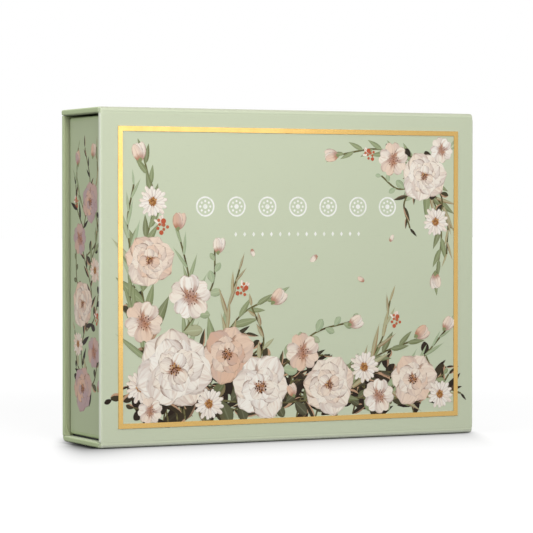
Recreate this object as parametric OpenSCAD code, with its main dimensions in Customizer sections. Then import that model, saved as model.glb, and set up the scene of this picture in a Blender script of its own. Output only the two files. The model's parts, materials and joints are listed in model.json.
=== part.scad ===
// Mahjong card deck in a flip-top gift box
// The case is four paper-wrapped boards joined by paper creases: a base at the back, a spine underneath,
// a lid in front and a magnetic flap on top. A wrapped tray is taped inside and holds two stacks of cards.
// Units are millimetres. +X is to the right of the lid, the lid faces -Y, +Z is up.
// The origin is on the table, under the middle of the box.

/* [Cards] */
// Card width
card_w = 57; // [50:0.5:70]
// Card height
card_h = 88.9; // [80:0.1:120]
// Thickness of one card
card_t = 0.29; // [0.25:0.01:0.4]
// Corner radius of a card
card_corner_r = 3.5; // [1.5:0.5:6]
// Cards in each of the three suits
suit_count = 36; // [27:9:36]
// Season cards
season_count = 4; // [2:1:8]
// Flower cards
flower_count = 4; // [2:1:8]
// Wind cards
wind_count = 16; // [12:4:16]
// Dragon cards
dragon_count = 12; // [9:3:12]
// Joker cards
joker_count = 8; // [4:1:12]

/* [Case] */
// Thickness of the case's greyboard
board_t = 1.4; // [1.1:0.1:2.5]
// Thickness of the wrapping paper and of the lining paper
wrap_t = 0.15; // [0.1:0.01:0.2]
// How far the wrap is turned in over a board's inner face
turn_in = 12; // [8:1:16]
// Rounding of a wrapped board's edges
edge_r = 0.5; // [0.3:0.05:0.65]
// Rounding of the free ends of the flap and the base
free_end_r = 0.75; // [0.4:0.05:0.9]
// How far the case stands past the tray at each end
overhang = 1.7; // [0.8:0.1:4]
// Room that a paper crease takes between two panels, past the panel's thickness
crease_clear = 0.1; // [0.05:0.05:0.6]
// Outer radius of the fold in a paper crease
fold_r = 1.2; // [0.5:0.1:1.6]
// How far a crease's tucked end lies inside the panels' ends
crease_inset = 0.3; // [0:0.05:1]

/* [Tray] */
// Thickness of the tray's wall board
tray_wall_t = 1.3; // [1.1:0.1:2.5]
// Thickness of the tray's floor board
tray_floor_t = 1.3; // [0.8:0.1:2.5]
// Rounding of the tray's wrapped corners
tray_corner_r = 0.7; // [0.3:0.1:1.5]
// Thickness of the divider between the two stacks
divider_t = 1.5; // [1:0.1:4]
// How far the divider stops below the tray's rim
divider_drop = 5; // [1:0.5:12]

/* [Magnets] */
// Magnet diameter
magnet_d = 8; // [5:0.5:10]
// Distance between the two magnets of a pair
magnet_spread = 64; // [30:1:90]
// Board left behind a magnet's pocket
magnet_cover = 0.4; // [0.2:0.1:0.6]

/* [Tape and foil] */
// Thickness of the foam tape between the tray and the base
base_tape_t = 1; // [0.2:0.1:1.6]
// Thickness of the tape between the tray and the spine
spine_tape_t = 0.6; // [0.1:0.1:1.2]
// Width of a strip of tape
tape_w = 14; // [6:1:18]
// How far the tape stops short of the tray's ends
tape_inset = 8; // [3:1:20]
// Distance from the lid's outline to the foil frame
foil_margin = 5.5; // [3:0.5:15]
// Width of the foil line
foil_w = 1.5; // [0.5:0.1:4]
// Thickness of the foil
foil_t = 0.05; // [0.03:0.01:0.1]

/* [Clearances] */
// Beside each stack of cards, left and right
card_play = 0.7; // [0.3:0.1:3]
// Above the cards' upper edges
card_head = 2; // [0.5:0.1:6]
// In front of the stacks, up to the tray's rim
stack_head = 0.8; // [0.3:0.1:6]
// Air between two cards in a stack
card_air = 0.01; // [0.005:0.005:0.05]
// Between the lid's lining and the tray's rim
rim_gap = 0.3; // [0.1:0.05:1]
// Between the tray's upper wall and the flap
flap_gap = 0.7; // [0.2:0.05:1.5]
// Between the base's upper end and the flap
base_gap = 0.05; // [0.05:0.05:0.8]
// Around a magnet in its pocket
magnet_play = 0.1; // [0.05:0.05:0.4]

/* [Show] */
// Which sub-part to draw

/* [Hidden] */
$fn = 64;
// How far a cutter runs past the face that it opens
cut = 1;
// Least flat left between two rounded edges
edge_flat = 0.1;

// Stacks of cards
card_pitch = card_t + card_air;
left_count = 2 * suit_count + season_count;
right_count = suit_count + wind_count + dragon_count + flower_count + joker_count;
stack_d = max(left_count, right_count) * card_pitch;
stack_x = divider_t / 2 + card_play + card_w / 2;

// Wrapped panels and the creases between them
panel_t = board_t + 2 * wrap_t;
crease_r = panel_t + crease_clear;
crease_t = 2 * wrap_t;
fold_out_r = min(fold_r, crease_r);
fold_in_r = max(fold_out_r - crease_t, edge_flat);
free_round = min(free_end_r, (panel_t - edge_flat) / 2);
edge_round = min(edge_r, (panel_t - edge_flat) / 2);

// Tray
wall_t = tray_wall_t + 2 * wrap_t;
tray_in_w = 2 * card_w + divider_t + 4 * card_play;
tray_in_h = card_h + card_head;
tray_w = tray_in_w + 2 * wall_t;
tray_h = tray_in_h + 2 * wall_t;
tray_d = stack_d + stack_head + wrap_t + tray_floor_t;
tray_round = max(tray_corner_r, 2 * wrap_t);

// Whole box
box_w = tray_w + 2 * overhang;
box_h = panel_t + spine_tape_t + tray_h + flap_gap + panel_t;
box_d = panel_t + rim_gap + tray_d + base_tape_t + panel_t;
crease_w = box_w - 2 * crease_inset;
front_y = -box_d / 2;
back_y = box_d / 2;

// Places inside the box
rim_y = front_y + panel_t + rim_gap;
tray_back_y = rim_y + tray_d;
floor_y = tray_back_y - tray_floor_t;
lining_y = floor_y - wrap_t;
tray_z = panel_t + spine_tape_t;
tray_top_z = tray_z + tray_h;
well_z = tray_z + wall_t;

// Panel lengths, measured from crease to crease or to the free end
lid_len = box_h - 2 * crease_r;
spine_len = box_d - 2 * crease_r;
flap_len = box_d - crease_r;
base_len = box_h - crease_r - panel_t - base_gap;

// Magnets sit in the middle of the flap's lining
magnet_t = min(board_t, tray_wall_t) - magnet_cover;
magnet_y = (crease_r - turn_in) / 2;

// Colours
paper_green = [0.74, 0.79, 0.69];
lining_green = [0.83, 0.86, 0.79];
grey_board = [0.55, 0.53, 0.49];
foil_gold = [0.86, 0.7, 0.4];
magnet_grey = [0.7, 0.7, 0.72];
tape_white = [0.93, 0.92, 0.88];
card_white = [0.95, 0.94, 0.9];

// Flat outline with rounded corners, centred on x, standing on y = 0
module rounded_outline(w, h, r) {
    translate([-w / 2 + r, 0])
        square([w - 2 * r, h]);
    translate([-w / 2, r])
        square([w, h - 2 * r]);
    for (side = [-1, 1], level = [r, h - r])
        translate([side * (w / 2 - r), level])
            circle(r);
}

// The same outline with square lower corners, starting at x = 0
module capped_outline(t, len, r) {
    square([t, len - r]);
    translate([r, 0])
        square([t - 2 * r, len]);
    for (level = [r, t - r])
        translate([level, len - r])
            circle(r);
}

// A slab with soft edges: its outer face on y = 0, running up from z = 0 to its free or creased end
module slab(w, t, len, side_r, end_r) {
    if (end_r > 0)
        intersection() {
            linear_extrude(len)
                rounded_outline(w, t, side_r);
            translate([-w / 2 - cut, 0, 0])
                rotate([90, 0, 90])
                    linear_extrude(w + 2 * cut)
                        capped_outline(t, len, end_r);
        }
    else
        linear_extrude(len)
            rounded_outline(w, t, side_r);
}

// Greyboard inside a panel; end_r is 0 where both ends run into a crease
module panel_board(len, end_r) {
    translate([0, wrap_t, 0])
        slab(box_w - 2 * wrap_t, board_t, len - (end_r > 0 ? wrap_t : 0),
            edge_round - wrap_t, max(end_r - wrap_t, 0));
}

// Lining paper, flush with the wrap that is turned in around it
module panel_lining(len, end_r) {
    translate([-box_w / 2 + turn_in, panel_t - wrap_t, 0])
        cube([box_w - 2 * turn_in, wrap_t, len - (end_r > 0 ? turn_in : 0)]);
}

// Wrapping paper: the outer sheet, folded over the free edges and turned in
module panel_wrap(len, end_r) {
    run_out = end_r > 0 ? cut : 2 * cut;
    difference() {
        slab(box_w, panel_t, len, edge_round, end_r);
        translate([0, 0, -cut])
            panel_board(len + run_out, end_r);
        translate([-box_w / 2 + turn_in, panel_t - wrap_t, -cut])
            cube([box_w - 2 * turn_in, wrap_t + cut, len + run_out - (end_r > 0 ? turn_in : 0)]);
    }
}

// Places for the four panels
module at_lid() {
    translate([0, front_y, crease_r])
        children();
}

module at_base() {
    translate([0, back_y, crease_r])
        rotate([0, 0, 180])
            children();
}

module at_spine() {
    translate([0, back_y - crease_r, 0])
        rotate([90, 0, 0])
            children();
}

module at_flap() {
    translate([0, front_y + crease_r, box_h])
        rotate([-90, 0, 0])
            children();
}

module base_board() {
    color(grey_board)
        at_base()
            panel_board(base_len, free_round);
}

module base_wrap() {
    color(paper_green)
        at_base()
            panel_wrap(base_len, free_round);
}

module base_lining() {
    color(lining_green)
        at_base()
            panel_lining(base_len, free_round);
}

module spine_board() {
    color(grey_board)
        at_spine()
            panel_board(spine_len, 0);
}

module spine_wrap() {
    color(paper_green)
        at_spine()
            panel_wrap(spine_len, 0);
}

module spine_lining() {
    color(lining_green)
        at_spine()
            panel_lining(spine_len, 0);
}

module lid_board() {
    color(grey_board)
        at_lid()
            panel_board(lid_len, 0);
}

module lid_wrap() {
    color(paper_green)
        at_lid()
            panel_wrap(lid_len, 0);
}

module lid_lining() {
    color(lining_green)
        at_lid()
            panel_lining(lid_len, 0);
}

module flap_board() {
    color(grey_board)
        difference() {
            at_flap()
                panel_board(flap_len, free_round);
            translate([0, 0, box_h - panel_t + wrap_t - cut])
                magnet_pair(magnet_d / 2 + magnet_play, magnet_t + cut);
        }
}

module flap_wrap() {
    color(paper_green)
        at_flap()
            panel_wrap(flap_len, free_round);
}

module flap_lining() {
    color(lining_green)
        at_flap()
            panel_lining(flap_len, free_round);
}

// Corner of a fold below and left of the origin, rounded outside; past runs on beyond the origin
module fold_outline(reach, r, past) {
    intersection() {
        translate([-reach, -reach])
            square(reach + past);
        union() {
            translate([-reach + r, -reach])
                square([reach - r + past, reach + past]);
            translate([-reach, -reach + r])
                square([reach + past, reach - r + past]);
            translate([-reach + r, -reach + r])
                circle(r);
        }
    }
}

// Two plies of paper bent through a right angle, tucked in at both ends, with the box's corner at the origin
module crease() {
    translate([-crease_w / 2, crease_r, crease_r])
        rotate([90, 0, 90])
            difference() {
                linear_extrude(crease_w)
                    fold_outline(crease_r, fold_out_r, 0);
                translate([0, 0, crease_t])
                    linear_extrude(crease_w - 2 * crease_t)
                        fold_outline(crease_r - crease_t, fold_in_r, cut);
            }
}

module spine_lid_crease() {
    color(paper_green)
        translate([0, front_y, 0])
            crease();
}

module base_spine_crease() {
    color(paper_green)
        translate([0, back_y, 0])
            rotate([0, 0, 180])
                crease();
}

module lid_flap_crease() {
    color(paper_green)
        translate([0, front_y, box_h])
            rotate([-90, 0, 0])
                crease();
}

// Foil line stamped on the lid
module foil_frame() {
    color(foil_gold)
        translate([0, front_y, 0])
            difference() {
                translate([-box_w / 2 + foil_margin, -foil_t, foil_margin])
                    cube([box_w - 2 * foil_margin, foil_t, box_h - 2 * foil_margin]);
                translate([-box_w / 2 + foil_margin + foil_w, -foil_t - cut, foil_margin + foil_w])
                    cube([box_w - 2 * foil_margin - 2 * foil_w, foil_t + 2 * cut,
                        box_h - 2 * foil_margin - 2 * foil_w]);
            }
}

// Two upright discs, standing on z = 0
module magnet_pair(r, h) {
    for (side = [-1, 1])
        translate([side * magnet_spread / 2, magnet_y, 0])
            cylinder(h = h, r = r);
}

module flap_magnets() {
    color(magnet_grey)
        translate([0, 0, box_h - panel_t + wrap_t])
            magnet_pair(magnet_d / 2, magnet_t);
}

module tray_magnets() {
    color(magnet_grey)
        translate([0, 0, tray_top_z - wrap_t - magnet_t])
            magnet_pair(magnet_d / 2, magnet_t);
}

// Tape between the tray's floor and the base: one strip along each long side
module base_tape() {
    color(tape_white)
        for (level = [tray_z + tape_inset, tray_top_z - tape_inset - tape_w])
            translate([-tray_w / 2 + tape_inset, tray_back_y, level])
                cube([tray_w - 2 * tape_inset, base_tape_t, tape_w]);
}

// Tape between the tray's lower wall and the spine
module spine_tape() {
    color(tape_white)
        translate([-tray_w / 2 + tape_inset, (rim_y + tray_back_y - tape_w) / 2, panel_t])
            cube([tray_w - 2 * tape_inset, tape_w, spine_tape_t]);
}

// An upright prism of a flat outline, from one depth to another
module along_depth(from_y, to_y) {
    translate([0, to_y, 0])
        rotate([90, 0, 0])
            linear_extrude(to_y - from_y)
                children();
}

// Outline of the tray's boards, without their wrap
module tray_outline() {
    translate([0, tray_z + wrap_t])
        rounded_outline(tray_w - 2 * wrap_t, tray_h - 2 * wrap_t, tray_round - wrap_t);
}

module tray_floor() {
    color(grey_board)
        along_depth(floor_y, tray_back_y)
            tray_outline();
}

// Long wall: the part of the tray's outline between two levels
module long_wall(low_z) {
    along_depth(rim_y + wrap_t, floor_y)
        intersection() {
            tray_outline();
            translate([-tray_w / 2, low_z])
                square([tray_w, tray_wall_t]);
        }
}

module tray_bottom_wall() {
    color(grey_board)
        long_wall(tray_z + wrap_t);
}

module tray_top_wall() {
    color(grey_board)
        difference() {
            long_wall(tray_top_z - wrap_t - tray_wall_t);
            translate([0, 0, tray_top_z - wrap_t - magnet_t])
                magnet_pair(magnet_d / 2 + magnet_play, magnet_t + cut);
        }
}

// End wall, butted between the long walls
module end_wall(side) {
    translate([side * (tray_w / 2 - wrap_t - tray_wall_t / 2) - tray_wall_t / 2, rim_y + wrap_t,
        tray_z + wrap_t + tray_wall_t])
        cube([tray_wall_t, floor_y - rim_y - wrap_t, tray_h - 2 * wrap_t - 2 * tray_wall_t]);
}

module tray_left_end() {
    color(grey_board)
        end_wall(-1);
}

module tray_right_end() {
    color(grey_board)
        end_wall(1);
}

// Paper over the outside of the walls, turned over the rim and down the inside
module tray_wrap() {
    color(paper_green)
        difference() {
            along_depth(rim_y, tray_back_y)
                translate([0, tray_z])
                    rounded_outline(tray_w, tray_h, tray_round);
            along_depth(rim_y + wrap_t, tray_back_y)
                difference() {
                    tray_outline();
                    translate([-tray_in_w / 2 - wrap_t, well_z - wrap_t])
                        square([tray_in_w + 2 * wrap_t, tray_in_h + 2 * wrap_t]);
                }
            along_depth(floor_y, tray_back_y + cut)
                tray_outline();
            along_depth(rim_y - cut, floor_y + cut)
                translate([-tray_in_w / 2, well_z])
                    square([tray_in_w, tray_in_h]);
        }
}

module tray_lining() {
    color(lining_green)
        translate([-tray_in_w / 2, lining_y, well_z])
            cube([tray_in_w, wrap_t, tray_in_h]);
}

module deck_divider() {
    color(paper_green)
        translate([-divider_t / 2, rim_y + divider_drop, well_z])
            cube([divider_t, lining_y - rim_y - divider_drop, tray_in_h]);
}

// A run of cards in one stack, the first of them lying on the cards before it
module cards(count, before, side) {
    color(card_white)
        for (i = [before : before + count - 1])
            along_depth(lining_y - i * card_pitch - card_t, lining_y - i * card_pitch)
                translate([side * stack_x, well_z])
                    rounded_outline(card_w, card_h, card_corner_r);
}

module bamboo_cards() {
    cards(suit_count, season_count + suit_count, -1);
}

module character_cards() {
    cards(suit_count, season_count, -1);
}

module season_cards() {
    cards(season_count, 0, -1);
}

module dot_cards() {
    cards(suit_count, joker_count + flower_count + dragon_count + wind_count, 1);
}

module wind_cards() {
    cards(wind_count, joker_count + flower_count + dragon_count, 1);
}

module dragon_cards() {
    cards(dragon_count, joker_count + flower_count, 1);
}

module flower_cards() {
    cards(flower_count, joker_count, 1);
}

module joker_cards() {
    cards(joker_count, 0, 1);
}

base_board();
base_wrap();
base_lining();
spine_board();
spine_wrap();
spine_lining();
lid_board();
lid_wrap();
lid_lining();
flap_board();
flap_wrap();
flap_lining();
base_spine_crease();
spine_lid_crease();
lid_flap_crease();
foil_frame();
flap_magnets();
tray_magnets();
base_tape();
spine_tape();
tray_floor();
tray_left_end();
tray_right_end();
tray_top_wall();
tray_bottom_wall();
tray_wrap();
tray_lining();
deck_divider();
bamboo_cards();
character_cards();
season_cards();
dot_cards();
wind_cards();
dragon_cards();
flower_cards();
joker_cards();
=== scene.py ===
import json
import math
import random
from collections import namedtuple

import bpy
import bmesh
from mathutils import Matrix, Vector

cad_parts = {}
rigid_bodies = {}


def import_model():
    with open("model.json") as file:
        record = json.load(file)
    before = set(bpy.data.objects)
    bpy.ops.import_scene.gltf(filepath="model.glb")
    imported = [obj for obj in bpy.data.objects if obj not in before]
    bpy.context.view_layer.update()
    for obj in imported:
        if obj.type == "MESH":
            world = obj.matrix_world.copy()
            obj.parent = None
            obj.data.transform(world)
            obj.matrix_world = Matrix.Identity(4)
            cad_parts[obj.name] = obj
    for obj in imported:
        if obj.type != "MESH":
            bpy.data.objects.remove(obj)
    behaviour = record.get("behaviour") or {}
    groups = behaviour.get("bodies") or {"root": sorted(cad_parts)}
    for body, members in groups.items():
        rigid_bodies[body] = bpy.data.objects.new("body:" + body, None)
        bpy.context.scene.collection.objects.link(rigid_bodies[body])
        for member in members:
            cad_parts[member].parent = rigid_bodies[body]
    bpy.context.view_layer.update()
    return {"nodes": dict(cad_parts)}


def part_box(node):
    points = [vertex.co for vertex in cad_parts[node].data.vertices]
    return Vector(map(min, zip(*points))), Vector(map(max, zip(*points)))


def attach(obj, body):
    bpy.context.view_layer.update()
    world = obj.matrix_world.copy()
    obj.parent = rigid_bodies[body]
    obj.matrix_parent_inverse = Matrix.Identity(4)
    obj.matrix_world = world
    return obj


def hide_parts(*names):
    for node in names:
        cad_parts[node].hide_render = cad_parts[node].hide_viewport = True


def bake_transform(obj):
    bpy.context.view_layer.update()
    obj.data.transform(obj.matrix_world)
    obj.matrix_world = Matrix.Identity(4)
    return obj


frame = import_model()
nodes = frame["nodes"]
scene = bpy.context.scene
mm = 0.001
quarterTurn, fullTurn = math.pi / 2, 2 * math.pi
forward, up = Vector((0, 1, 0)), Vector((0, 0, 1))
back, down = -forward, -up

# places of the box's faces, read from the CAD nodes
lidLow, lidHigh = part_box("lid_wrap")
baseLow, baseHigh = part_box("base_wrap")
flapLow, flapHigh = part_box("flap_wrap")
trayLow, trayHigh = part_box("tray_wrap")
frontY, backY, topZ, halfWidth = lidLow.y, baseHigh.y, flapHigh.z, lidHigh.x
creaseRadius, panelThickness = lidLow.z, lidHigh.y - lidLow.y
boxSize = [round(v / mm, 2) for v in (2 * halfWidth, backY - frontY, topZ)]
print("frame:", len(nodes), "nodes, box", boxSize, "mm")


def ink(red, green, blue):
    # a colour as a paint chart gives it, 0 to 255
    def toLinear(v):
        v /= 255
        return v / 12.92 if v <= 0.04045 else ((v + 0.055) / 1.055) ** 2.4
    return (toLinear(red), toLinear(green), toLinear(blue), 1.0)


# short ways to write nodes

class Wire:
    # a node's output that takes part in sums like a number
    def __init__(self, socket):
        self.socket, self.tree = socket, socket.id_data

    __add__ = lambda self, other: calc("ADD", self, other)
    __sub__ = lambda self, other: calc("SUBTRACT", self, other)
    __rsub__ = lambda self, other: calc("SUBTRACT", other, self)
    __mul__ = lambda self, other: calc("MULTIPLY", self, other)
    __truediv__ = lambda self, other: calc("DIVIDE", self, other)
    __rtruediv__ = lambda self, other: calc("DIVIDE", other, self)
    __mod__ = lambda self, other: calc("MODULO", self, other)
    __pow__ = lambda self, other: calc("POWER", self, other)
    __rpow__ = lambda self, other: calc("POWER", other, self)
    __abs__ = lambda self: calc("ABSOLUTE", self)


def feed(node, values):
    # joins wires to a node's inputs and sets plain values
    for name, value in values.items():
        if isinstance(value, Wire):
            value.tree.links.new(value.socket, node.inputs[name])
        else:
            node.inputs[name].default_value = value
    return node


def addNode(tree, kind, inputs=None, **settings):
    node = tree.nodes.new(kind)
    for name, value in settings.items():
        setattr(node, name, value)
    return feed(node, inputs or {})


def wireOf(tree, kind, inputs=None, output=0, **settings):
    return Wire(addNode(tree, kind, inputs, **settings).outputs[output])


def outputsOf(node):
    return lambda name: Wire(node.outputs[name])


def treeOf(*values):
    return next(value.tree for value in values if isinstance(value, Wire))


def calc(operation, a, b=0.0, c=0.0):
    return wireOf(treeOf(a, b, c), "ShaderNodeMath", {0: a, 1: b, 2: c}, operation=operation)


def held(total):
    # a sum that stays between 0 and 1
    total.socket.node.use_clamp = True
    return total


def fade(value, low, high, start=0.0, end=1.0):
    return wireOf(value.tree, "ShaderNodeMapRange", {0: value, 1: low, 2: high, 3: start, 4: end},
        interpolation_type="SMOOTHSTEP")


def mixColour(share, a, b):
    return wireOf(share.tree, "ShaderNodeMix", {0: share, 6: a, 7: b}, 2, data_type="RGBA")


def ramp(value, stops):
    node = addNode(value.tree, "ShaderNodeValToRGB", {0: value})
    while len(node.color_ramp.elements) < len(stops):
        node.color_ramp.elements.new(0.5)
    for element, (place, colour) in zip(node.color_ramp.elements, stops):
        element.position = place
        element.color = colour
    return Wire(node.outputs[0])


def noise(vector, scale, detail=2.0, roughness=0.5):
    return wireOf(vector.tree, "ShaderNodeTexNoise", {"Vector": vector, "Scale": scale, "Detail": detail,
        "Roughness": roughness}, "Fac")


def coords(tree, kind="Object"):
    return wireOf(tree, "ShaderNodeTexCoord", output=kind)


def split(vector):
    return [Wire(socket) for socket in addNode(vector.tree, "ShaderNodeSeparateXYZ", {0: vector}).outputs]


def joined(x=0.0, y=0.0, z=0.0):
    return wireOf(treeOf(x, y, z), "ShaderNodeCombineXYZ", {0: x, 1: y, 2: z})


def newGroup(name, inputs, outputs):
    group = bpy.data.node_groups.new(name, "ShaderNodeTree")

    def addSocket(label, side):
        kind = "NodeSocketColor" if label == "Colour" else "NodeSocketFloat"
        return group.interface.new_socket(label, in_out=side, socket_type=kind)
    for label, value in inputs.items():
        addSocket(label, "INPUT").default_value = value
    for label in outputs:
        addSocket(label, "OUTPUT")
    return group, outputsOf(group.nodes.new("NodeGroupInput")), group.nodes.new("NodeGroupOutput")


def placeGroup(tree, group, inputs):
    return outputsOf(addNode(tree, "ShaderNodeGroup", inputs, node_tree=group))


def newMaterial(name):
    material = bpy.data.materials.new(name)
    material.use_nodes = True
    return material, material.node_tree, material.node_tree.nodes["Principled BSDF"]


# paper grain: fine tooth, stray fibres and a slow unevenness of the dye
def buildPaperGrain():
    group, given, made = newGroup("paperGrain", {"Colour": (1, 1, 1, 1), "Tooth Size": 0.22 * mm, "Mottle": 0.03,
        "Fibres": 0.03, "Roughness": 0.6}, ("Colour", "Roughness", "Height"))
    place = coords(group)
    tooth = noise(place, 1.0 / given("Tooth Size"), 3.0, 0.6)
    cloud = noise(place, 55.0, 3.0, 0.55)
    long = wireOf(group, "ShaderNodeMapping", {"Vector": place, "Scale": (420, 900, 2600),
        "Rotation": (0.3, 0.7, 0.5)})
    fibre = fade(noise(long, 1.0), 0.62, 0.74)
    tone = (tooth - 0.5) * given("Mottle") + ((cloud - 0.5) * given("Mottle") + 1.0) - fibre * given("Fibres")
    toned = wireOf(group, "ShaderNodeVectorMath", {0: given("Colour"), "Scale": tone}, operation="SCALE")
    feed(made, {"Colour": toned, "Roughness": held((tooth - 0.5) * 0.2 + given("Roughness")),
        "Height": fibre * 0.35 + tooth})
    return group


# rub and painted highlight along folds: how near a point is to the box's upright edges and to its level ones
def buildFoldRubHighlight():
    group, given, made = newGroup("foldRubHighlight", {"Half Width": 0.06, "Half Depth": 0.0145, "Half Height": 0.05,
        "Upright Reach": 0.001, "Level Reach": 0.001}, ("Mask",))
    place = coords(group)
    x, y, z = split(place)
    dx, dy = given("Half Width") - abs(x), given("Half Depth") - abs(y)
    dz = given("Half Height") - abs(z - given("Half Height"))
    upright = calc("MAXIMUM", dx, dy) / given("Upright Reach")
    level = calc("MAXIMUM", dz, calc("MINIMUM", dx, dy)) / given("Level Reach")
    near = fade(calc("MINIMUM", upright, level), 1.0, 0.0)
    patchy = fade(noise(place, 900.0, 4.0, 0.6), 0.3, 0.75, 0.5, 1.0)
    feed(made, {"Mask": held(near * patchy)})
    return group


# brush marks that follow a petal or leaf: streaks along it, a broken dark rim, a soft side shade
def buildBrushMarks():
    group, given, made = newGroup("brushMarks", {"Along": 0.5, "Across": 0.0, "Own Seed": 0.5, "Streaks": 5.0},
        ("Streak", "Rim", "Shade"))
    along, across = given("Along"), given("Across")
    spread = joined(across * given("Streaks"), along * 1.4, given("Own Seed") * 37.0)
    streak = noise(spread, 1.0, 3.0, 0.6)
    rim = fade(calc("MAXIMUM", abs(across), along ** 3.0), 0.74, 1.0)
    broken = wireOf(group, "ShaderNodeVectorMath", {0: spread, 1: (0.6, 2.6, 1.0)}, operation="MULTIPLY")
    feed(made, {"Streak": fade(streak, 0.46, 0.68), "Rim": rim * fade(noise(broken, 1.0), 0.42, 0.62),
        "Shade": fade(across * 0.5 + streak, 0.35, 1.0)})
    return group


paperGrain, foldRubHighlight, brushMarks = buildPaperGrain(), buildFoldRubHighlight(), buildBrushMarks()
print("shader groups built")


def grained(material, tree, shader, look, strength, depth, gloss=0.5, height=None):
    # paper grain in the given colour, with a fine relief
    grain = placeGroup(tree, paperGrain, look)
    bump = wireOf(tree, "ShaderNodeBump", {"Strength": strength, "Distance": depth,
        "Height": height or grain("Height")})
    feed(shader, {"Base Color": grain("Colour"), "Roughness": grain("Roughness"), "Normal": bump,
        "Specular IOR Level": gloss})
    return material


# wrapped case and tray: a matt sage paper that is paler along the folds, partly from rubbing, partly a painted
# highlight
# its ends, which face sideways, take a painted shade
wrapLook = {"colour": ink(203, 211, 184), "ends": ink(192, 207, 163), "rubbedHighlight": ink(213, 221, 195),
    "rubHighlightReach": 1.1 * mm, "levelShare": 0.35, "tooth": 0.2 * mm, "roughness": 0.62, "bump": 0.04 * mm}
# the lid's ends take a painted highlight
lidLook = dict(wrapLook, ends=ink(232, 238, 220))
# the folds: a painted highlight on their ends, painted shade on their upper side, painted bounce light on their
# underside
foldLook = dict(wrapLook, ends=ink(212, 222, 190), above=ink(188, 193, 170), below=ink(238, 244, 224))
# the base: a painted shade on its face towards the tray
baseLook = dict(wrapLook, inside=ink(184, 192, 154))
# the tray's papers: darker, greener copies of the sage paper, a painted shade of the recess and slots where the tray
# sits
endLook = {"colour": ink(186, 197, 162), "rubbedHighlight": ink(196, 206, 174), "rubHighlightReach": 0.4 * mm,
    "levelShare": 0.35, "tooth": 0.2 * mm, "roughness": 0.6, "bump": 0.04 * mm}
trayLook = dict(endLook, colour=ink(181, 195, 153), rubbedHighlight=ink(192, 204, 166))
liningLook = dict(endLook, colour=ink(192, 201, 168), rubbedHighlight=ink(203, 211, 181), rubHighlightReach=0.6 * mm, tooth=0.3 * mm,
    roughness=0.7, bump=0.05 * mm)
# black tape: a dark sheet that stands for the shade in the slots between the tray and the case
slotShadeTapeLook = dict(endLook, colour=ink(26, 26, 25), rubbedHighlight=ink(34, 34, 32), tooth=0.4 * mm,
    roughness=0.55, bump=0.03 * mm)
# painted light and shade by the way the paper faces: axis of the normal, and where on it the tint starts and is full
paintedLightTints = {
    "inside": (1, -0.4, -0.8),  # painted shade on the base's face towards the tray, in the recess
    "above": (2, 0.2, 0.7),  # painted shade on paper that faces up over a fold
    "below": (2, -0.1, -0.5),  # painted bounce light on paper that faces down to the floor
    "ends": (0, 0.5, 0.9)}  # the boards' ends, facing sideways: painted shade on the case wrap, painted highlight on the lid and the folds


def paperFinish(name, look):
    material, tree, shader = newMaterial(name)
    rubAndHighlight = placeGroup(tree, foldRubHighlight, {"Half Width": halfWidth, "Half Depth": backY, "Half Height": topZ / 2,
        "Upright Reach": look["rubHighlightReach"], "Level Reach": look["rubHighlightReach"] * look["levelShare"]})
    # paler near the folds: partly rubbed paper, partly a painted highlight
    toneWithPaintedLight = mixColour(rubAndHighlight("Mask"), look["colour"], look["rubbedHighlight"])
    normal = split(coords(tree, "Normal"))
    normal[0] = abs(normal[0])  # both ends alike
    # painted light and shade by the way each face turns
    for tint, (axis, start, full) in paintedLightTints.items():
        if tint in look:
            toneWithPaintedLight = mixColour(fade(normal[axis], start, full), toneWithPaintedLight, look[tint])
    return grained(material, tree, shader, {"Colour": toneWithPaintedLight, "Tooth Size": look["tooth"],
        "Roughness": look["roughness"]}, strength=0.5, depth=look["bump"], gloss=0.15)


wrapPaper, lidPaper, foldPaper, basePaper, liningPaper, endPaper, trayPaper, slotShadeTapePaper = [
    paperFinish(name, look) for name, look in (("sageWrapPaper", wrapLook), ("lidWrapPaper", lidLook),
    ("foldWrapPaper", foldLook), ("baseWrapPaper", baseLook), ("sageLiningPaper", liningLook),
    ("trayEndPaper", endLook), ("trayWrapPaper", trayLook), ("foamTapeDarkForShade", slotShadeTapeLook))]

# raw greyboard: recycled pulp with dark and pale flecks
boardLook = {"pulp": ink(146, 139, 127), "dark": ink(104, 98, 90), "pale": ink(178, 172, 160), "fleck": 0.5 * mm}


def boardFinish():
    material, tree, shader = newMaterial("rawGreyboard")
    fleck = noise(coords(tree), 1 / boardLook["fleck"], 4.0, 0.7)
    pulp = mixColour(fade(fleck, 0.56, 0.7), boardLook["pulp"], boardLook["pale"])
    pulp = mixColour(fade(fleck, 0.44, 0.32), pulp, boardLook["dark"])
    return grained(material, tree, shader, {"Colour": pulp, "Tooth Size": 0.35 * mm, "Mottle": 0.12,
        "Roughness": 0.85}, strength=0.7, depth=0.1 * mm)


# foil and magnets: thin metal with a slight unevenness from the press
foilLook = {"colour": ink(201, 167, 102), "worn": ink(184, 146, 84), "roughness": 0.2, "cloud": 160.0,
    "height": 0.2 * mm, "edge": 0.03 * mm}
magnetLook = {"colour": ink(196, 196, 198), "worn": ink(150, 149, 148), "roughness": 0.22, "cloud": 400.0}


def metalFinish(name, look):
    material, tree, shader = newMaterial(name)
    place = coords(tree)
    cloud = noise(place, look["cloud"], 4.0, 0.6)
    speck = fade(noise(place, 4200.0), 0.66, 0.78)
    tone = mixColour(fade(cloud, 0.3, 0.8, 0.0, 0.25), look["colour"], look["worn"])
    bump = wireOf(tree, "ShaderNodeBump", {"Strength": 0.25, "Distance": 0.03 * mm,
        "Height": noise(place, 1800.0, 3.0)})
    feed(shader, {"Base Color": mixColour(speck * 0.4, tone, look["worn"]), "Normal": bump, "Metallic": 1.0,
        "Roughness": cloud * 0.16 + (look["roughness"] - 0.08)})
    return material


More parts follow.
